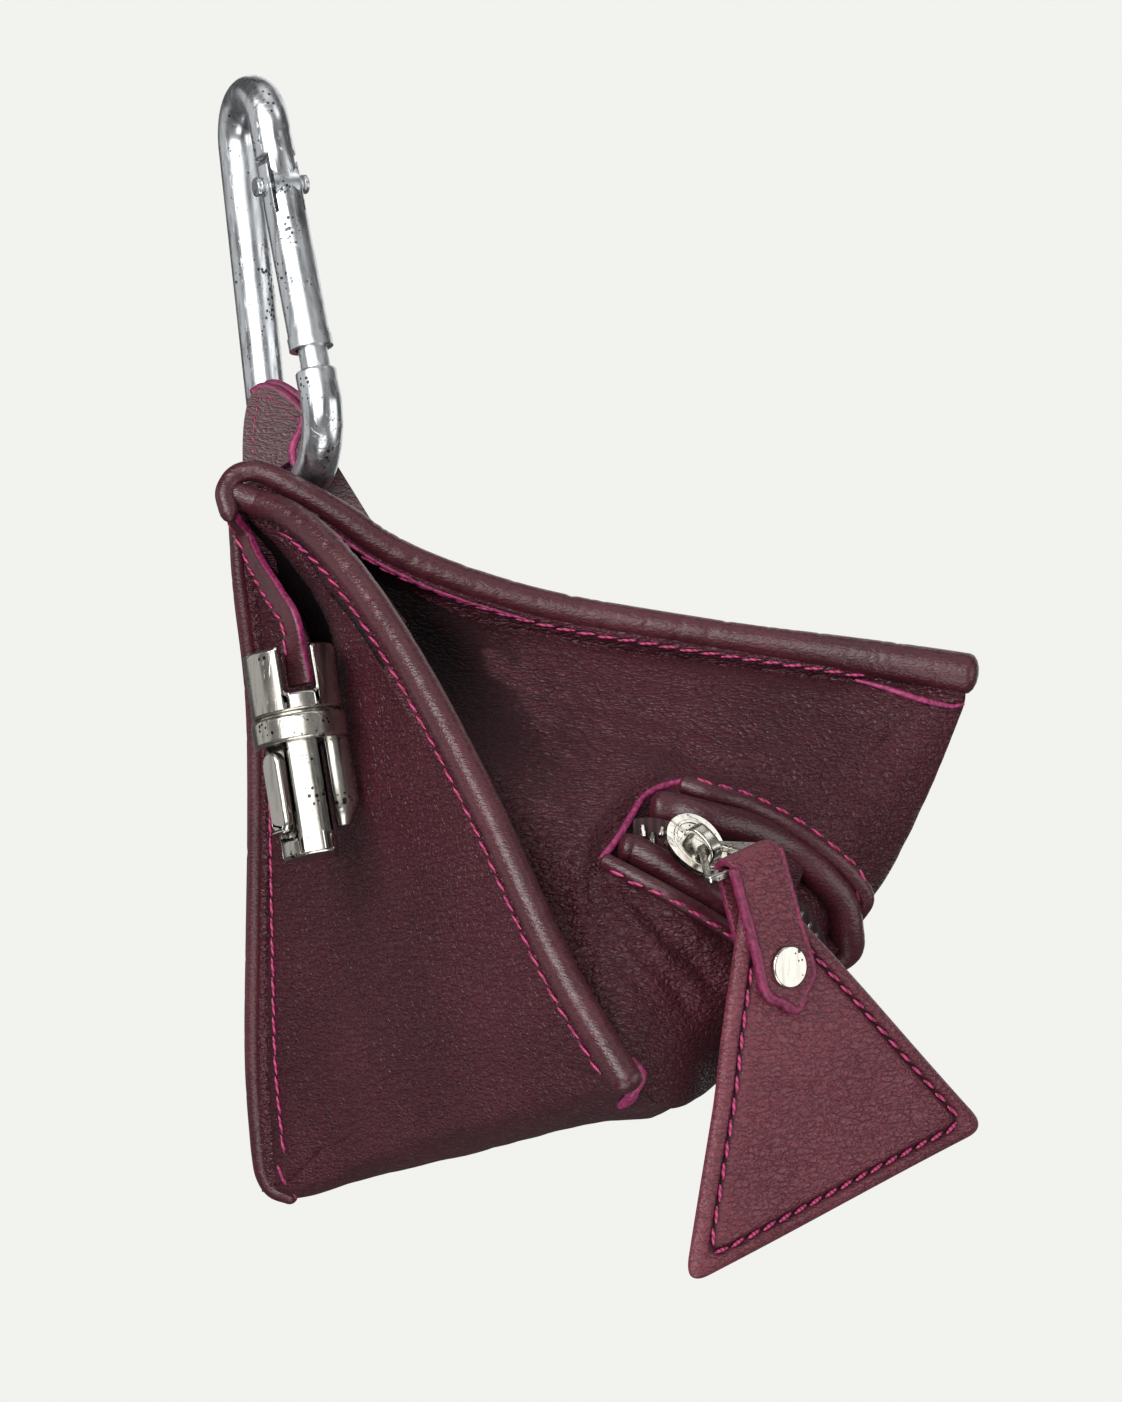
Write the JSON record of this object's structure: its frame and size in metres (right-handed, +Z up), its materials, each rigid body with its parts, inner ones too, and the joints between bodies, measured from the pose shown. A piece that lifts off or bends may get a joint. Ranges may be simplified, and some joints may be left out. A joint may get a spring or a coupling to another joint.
{
  "type": "triangle bag",
  "caption": "Small folded leather triangle bag with piped seams, a covered zip with a triangle fob, a side clasp, and a snap hook through a leather tab to hang it.",
  "frame": {"origin": "the inner top of the snap hook's upper bend, where the bag hangs", "axes": "+Z up, +X to the right and +Y away from the viewer of the picture"},
  "size_m": [0.147, 0.1064, 0.2259],
  "materials": {
    "leather": "pebbled burgundy leather, semi-matt",
    "zip_tape": "woven zip tape with a moulded chain",
    "steel": "polished steel, lightly scratched",
    "nickel": "polished nickel plate"
  },
  "bodies": {
    "bag": {"base": "leather", "clasp_barrel": "nickel", "clasp_cap": "nickel", "hang_tab": "leather", "hook_frame": "steel", "hook_pin": "steel", "piping_front": "leather", "piping_side": "leather", "piping_top": "leather", "wall_back": "leather", "wall_left": "leather", "wall_right": "leather", "zip_chain": "zip_tape", "zip_lip_lower": "leather", "zip_lip_upper": "leather", "zip_slider": "nickel", "zip_welt_lower": "leather", "zip_welt_upper": "leather"},
    "gate": {"hook_gate": "steel"},
    "lever": {"clasp_lever": "nickel"},
    "puller": {"zip_puller": "nickel"},
    "fob": {"fob_plate": "leather", "fob_strap": "leather", "fob_rivet": "nickel"}
  },
  "joints": [
    {"name": "gate_hinge", "type": "hinge", "parent": "bag", "child": "gate", "pos_m": [0.00614, -0.01016, -0.01462], "axis": [0.9082, 0.4067, 0.0987], "range_deg": [0, 25], "stiffness_Nm_per_rad": 0.05, "springref_deg": -5.73},
    {"name": "lever_press", "type": "hinge", "parent": "bag", "child": "lever", "pos_m": [0.00657, -0.04008, -0.12643], "axis": [0.5982, -0.7929, 0.1163], "range_deg": [0, 6], "stiffness_Nm_per_rad": 0.02, "springref_deg": -2.86},
    {"name": "puller_swing", "type": "hinge", "parent": "bag", "child": "puller", "pos_m": [0.08695, -0.06754, -0.14104], "axis": [-0.7548, -0.5698, -0.3249], "range_deg": [0, 85]},
    {"name": "fob_swing", "type": "hinge", "parent": "puller", "child": "fob", "pos_m": [0.09412, -0.07581, -0.14319], "axis": [-0.7548, -0.5698, -0.3249], "range_deg": [0, 60]}
  ]
}
